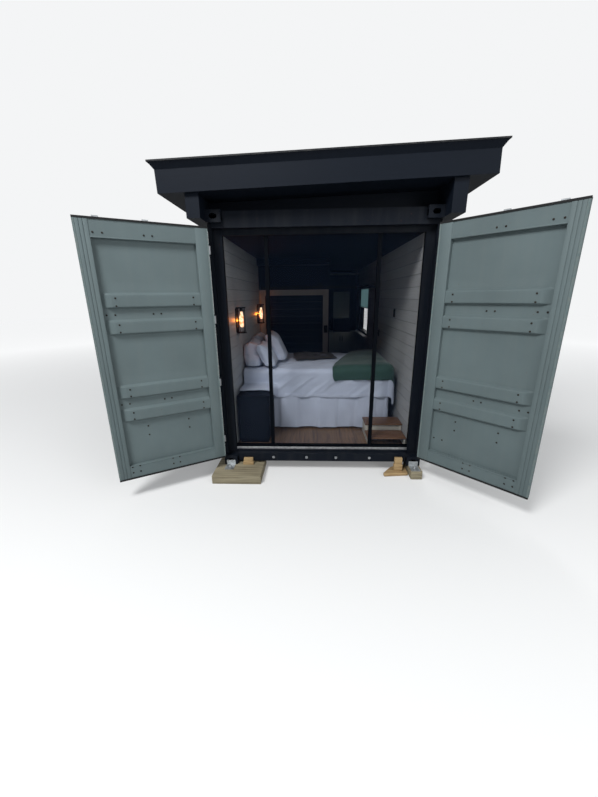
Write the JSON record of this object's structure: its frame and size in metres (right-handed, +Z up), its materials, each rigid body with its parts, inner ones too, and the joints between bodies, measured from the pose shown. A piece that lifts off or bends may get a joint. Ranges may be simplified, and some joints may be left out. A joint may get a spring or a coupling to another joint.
{
  "type": "shipping container cabin",
  "caption": "Steel container made into a one-room cabin: cargo doors open before a full glass front, bedroom inside, raised sloping roof on side beams.",
  "frame": {"origin": "ground level under the middle of the footprint with both cargo doors open as in the picture", "axes": "+X to the right seen from the glazed front, +Y from the front towards the closed end, +Z up"},
  "size_m": [4.1882, 7.286, 3.4971],
  "materials": {
    "block": "rough sawn",
    "galvanised": "satin",
    "black_steel": "satin",
    "floor_wood": "satin",
    "white_board": "satin paint",
    "dark_board": "matt paint",
    "door_board": "satin paint",
    "black_trim": "matt",
    "bright_aluminium": "satin",
    "black_aluminium": "satin",
    "clear_glass": "polished",
    "blind_fabric": "matt",
    "dark_timber": "satin paint",
    "raw_timber": "sawn",
    "roof_metal": "satin",
    "white_linen": "matt",
    "green_velvet": "soft sheen",
    "brown_knit": "matt",
    "cabinet_wood": "satin paint",
    "unit_paint": "satin paint",
    "stool_wood": "satin",
    "warm_bulb": "lit",
    "leaf_paint": "satin",
    "seal_rubber": "matt",
    "rod_zinc": "satin"
  },
  "bodies": {
    "cabin": {"footings": "block", "hold_down_brackets": "galvanised", "corner_castings": "black_steel", "door_posts": "black_steel", "hinge_lugs": "black_steel", "side_rails": "black_steel", "cross_members": "black_steel", "front_sill": "black_steel", "front_header": "black_steel", "rear_frame": "black_steel", "side_wall_left": "black_steel", "side_wall_right": "black_steel", "end_wall": "black_steel", "container_roof": "black_steel", "floor": "floor_wood", "lining_left": "white_board", "lining_right": "white_board", "lining_rear": "white_board", "ceiling": "dark_board", "partition": "dark_board", "door_track": "black_trim", "threshold": "bright_aluminium", "glazing_frame": "black_aluminium", "front_glass": "clear_glass", "window_frame": "black_aluminium", "window_glass": "clear_glass", "window_blind": "blind_fabric", "side_beams": "dark_timber", "closure_boards": "dark_timber", "soffit": "dark_timber", "roof_frame": "raw_timber", "fascia": "dark_timber", "roof_sheet": "roof_metal", "bed_base": "white_linen", "mattress": "white_linen", "duvet": "white_linen", "pillows": "white_linen", "green_throw": "green_velvet", "knit_throw": "brown_knit", "bedside_cabinet": "cabinet_wood", "step_stool": "stool_wood", "wall_lamps": "black_trim", "lamp_bulbs": "warm_bulb", "kitchen_unit": "unit_paint", "kitchen_cupboards": "cabinet_wood"},
    "left_leaf": {"left_leaf_frame": "leaf_paint", "left_leaf_panel": "leaf_paint", "left_leaf_gasket": "seal_rubber", "left_lock_rods": "rod_zinc"},
    "right_leaf": {"right_leaf_frame": "leaf_paint", "right_leaf_panel": "leaf_paint", "right_leaf_gasket": "seal_rubber", "right_lock_rods": "rod_zinc"},
    "sliding_door": {"sliding_door": "door_board", "door_hangers": "black_trim"}
  },
  "joints": [
    {"name": "left_door", "type": "hinge", "parent": "cabin", "child": "left_leaf", "pos_m": [-1.102, -2.69502, 1.537], "axis": [0, 0, 1], "range_deg": [-112, 148]},
    {"name": "right_door", "type": "hinge", "parent": "cabin", "child": "right_leaf", "pos_m": [1.31, -2.69502, 1.537], "axis": [0, 0, 1], "range_deg": [-133, 127]},
    {"name": "inner_door", "type": "slide", "parent": "cabin", "child": "sliding_door", "axis": [1, 0, 0], "range_m": [0, 0.88]}
  ]
}
